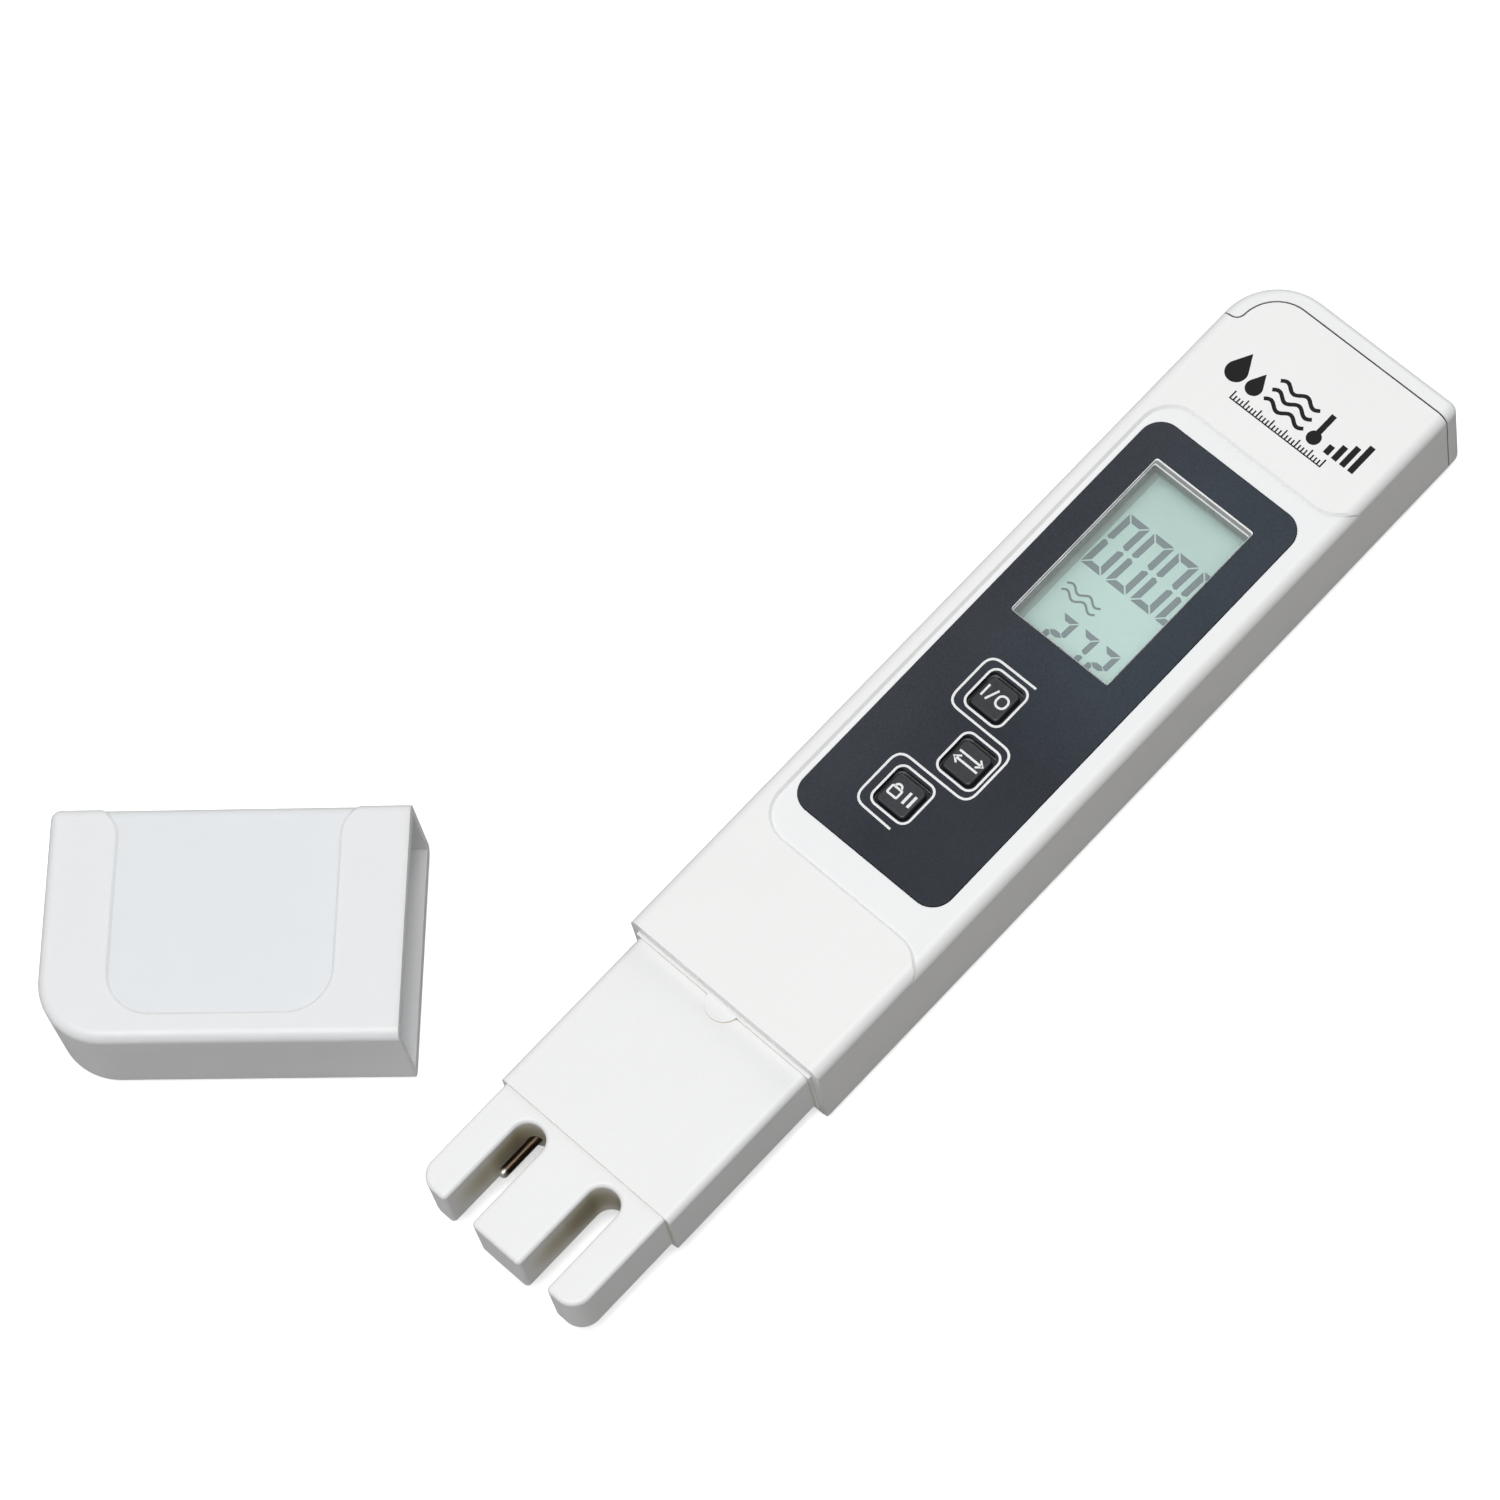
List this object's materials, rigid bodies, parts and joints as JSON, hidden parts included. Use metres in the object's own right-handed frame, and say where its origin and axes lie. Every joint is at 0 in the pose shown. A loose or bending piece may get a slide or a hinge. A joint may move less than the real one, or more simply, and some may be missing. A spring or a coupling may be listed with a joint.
{
  "type": "digital water tester",
  "caption": "Pen-shaped water tester with a display window, push keys, slotted probe end with electrodes, pull-off battery cover and a protective cap lying beside it.",
  "frame": {"origin": "middle of the casing's flat back, on the plane the meter and its cap lie on", "axes": "+X to the reader's right, +Y along the meter towards its battery end, +Z out of the display"},
  "size_m": [0.0909, 0.1642, 0.014],
  "materials": {
    "white_shell": "satin moulded ABS",
    "white_probe": "smooth moulded ABS",
    "dark_panel": "glossy reverse-printed panel",
    "clear_window": "polished clear acrylic",
    "dark_key": "satin key cap",
    "switch_case": "matte",
    "switch_plunger": "matte",
    "board_laminate": "solder mask",
    "display": "glossy liquid crystal glass",
    "display_frame": "satin",
    "soft_rubber": "matte",
    "screw_steel": "plated",
    "black_resin": "glossy",
    "plated_can": "satin",
    "ceramic_chip": "matte",
    "tray_plastic": "matte",
    "cell_steel": "satin",
    "spring_metal": "plated",
    "seal_rubber": "matte",
    "clear_resin": "glossy",
    "electrode_metal": "polished",
    "sensor_bead": "glossy",
    "lead_sleeve": "satin"
  },
  "bodies": {
    "meter": {"casing": "white_shell", "probe_holder": "white_probe", "front_panel": "dark_panel", "window_lens": "clear_window", "power_switch": "switch_case", "shift_switch": "switch_case", "hold_switch": "switch_case", "circuit_board": "board_laminate", "display_glass": "display", "display_holder": "display_frame", "contact_strip": "soft_rubber", "board_screws": "screw_steel", "processor_blob": "black_resin", "timing_crystal": "plated_can", "chip_resistors": "ceramic_chip", "battery_tray": "tray_plastic", "left_cell": "cell_steel", "right_cell": "cell_steel", "bridge_contact": "spring_metal", "positive_contact": "spring_metal", "negative_contact": "spring_metal", "probe_seal": "seal_rubber", "resin_seal": "clear_resin", "left_electrode": "electrode_metal", "right_electrode": "electrode_metal", "temperature_sensor": "sensor_bead", "probe_leads": "lead_sleeve"},
    "battery_cover": {"battery_cover": "white_shell", "cover_seal": "seal_rubber"},
    "power_key": {"power_key": "dark_key", "power_plunger": "switch_plunger"},
    "shift_key": {"shift_key": "dark_key", "shift_plunger": "switch_plunger"},
    "hold_key": {"hold_key": "dark_key", "hold_plunger": "switch_plunger"},
    "cap": {"protective_cap": "white_shell"}
  },
  "joints": [
    {"name": "battery_cover_slide", "type": "slide", "parent": "meter", "child": "battery_cover", "axis": [0, 1, 0], "range_m": [0, 0.012]},
    {"name": "cap_pull", "type": "slide", "parent": "meter", "child": "cap", "axis": [-0.749, -0.6626, 0], "range_m": [0, 0.04]},
    {"name": "power_key_press", "type": "slide", "parent": "meter", "child": "power_key", "axis": [0, 0, -1], "range_m": [0, 0.0005], "stiffness_N_per_m": 3000},
    {"name": "shift_key_press", "type": "slide", "parent": "meter", "child": "shift_key", "axis": [0, 0, -1], "range_m": [0, 0.0005], "stiffness_N_per_m": 3000},
    {"name": "hold_key_press", "type": "slide", "parent": "meter", "child": "hold_key", "axis": [0, 0, -1], "range_m": [0, 0.0005], "stiffness_N_per_m": 3000}
  ]
}
